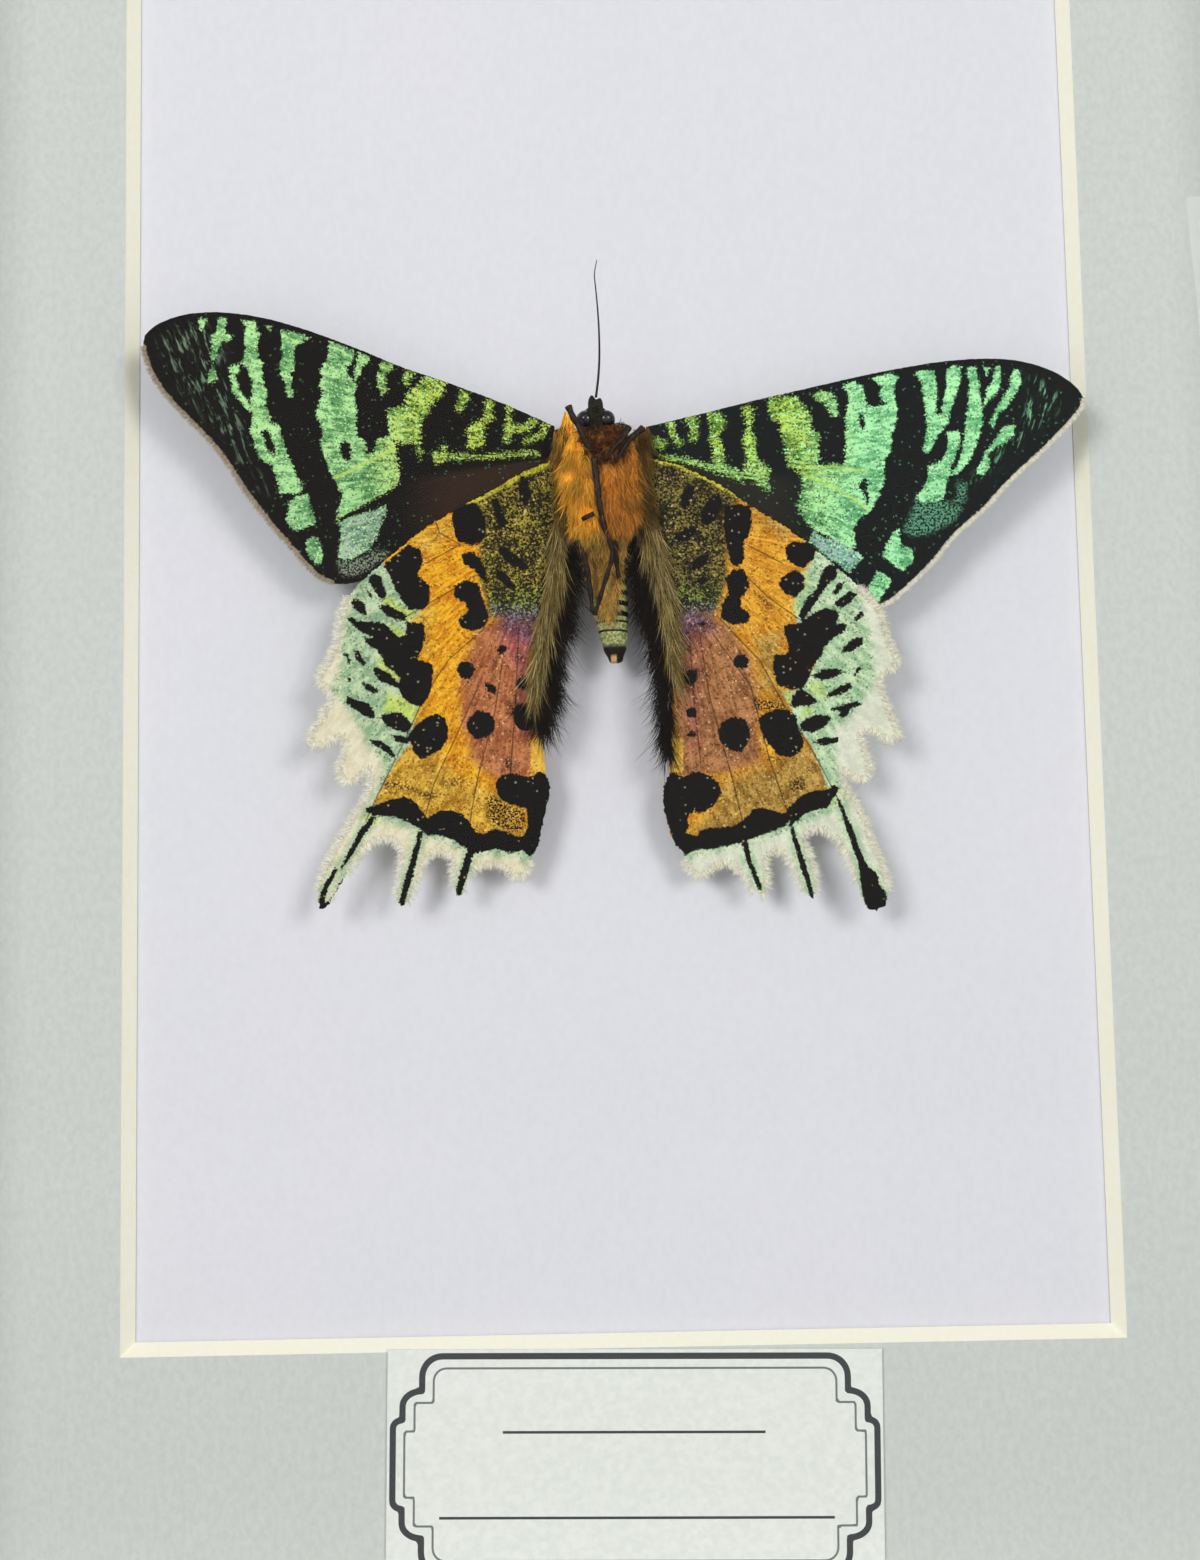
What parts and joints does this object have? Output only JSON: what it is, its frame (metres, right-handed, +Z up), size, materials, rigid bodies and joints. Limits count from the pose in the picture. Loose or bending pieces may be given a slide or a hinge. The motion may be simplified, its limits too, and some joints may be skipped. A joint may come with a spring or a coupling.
{
  "type": "framed sunset moth",
  "caption": "Upright box frame with a bevelled mat and a blank label, holding a spread iridescent moth, underside up, on a pale board behind glass.",
  "frame": {"origin": "under the middle of the frame, on the surface it stands on", "axes": "+Z up the frame, -Y out of the glass towards the viewer, +X to the viewer's right"},
  "size_m": [0.17, 0.0364, 0.22],
  "materials": {
    "frame_wood": "dark stained wood, satin",
    "pane": "clear picture glass",
    "spacer": "white foam board strip",
    "mat_card": "light grey laid paper with a cream core at the bevel",
    "label_card": "matt card with a printed stepped border",
    "board": "smooth pale lilac-white board",
    "hardboard": "brown hardboard",
    "hanger_metal": "thin brassed steel",
    "point_metal": "zinc plated steel",
    "moth_fur": "orange and olive fur and scales",
    "forewing_scales": "iridescent green scales with black bands",
    "hindwing_scales": "iridescent gold, copper and green scales with black blotches",
    "chitin": "dark brown, fine haired"
  },
  "bodies": {
    "root": {"frame_rail_top": "frame_wood", "frame_rail_bottom": "frame_wood", "frame_rail_left": "frame_wood", "frame_rail_right": "frame_wood", "glass": "pane", "spacer_top": "spacer", "spacer_bottom": "spacer", "spacer_left": "spacer", "spacer_right": "spacer", "mat": "mat_card", "label": "label_card", "backing_board": "board", "back_panel": "hardboard", "sawtooth_hanger": "hanger_metal", "hanger_nail_left": "hanger_metal", "hanger_nail_right": "hanger_metal", "panel_point_top": "point_metal", "panel_point_bottom": "point_metal", "panel_point_left_upper": "point_metal", "panel_point_left_lower": "point_metal", "panel_point_right_upper": "point_metal", "panel_point_right_lower": "point_metal", "moth_body": "moth_fur", "forewing_left": "forewing_scales", "forewing_right": "forewing_scales", "hindwing_left": "hindwing_scales", "hindwing_right": "hindwing_scales", "antenna": "chitin", "foreleg_left": "chitin", "foreleg_right": "chitin", "midleg_left": "chitin", "midleg_right": "chitin", "hindleg_left": "chitin", "hindleg_right": "chitin"}
  },
  "joints": []
}
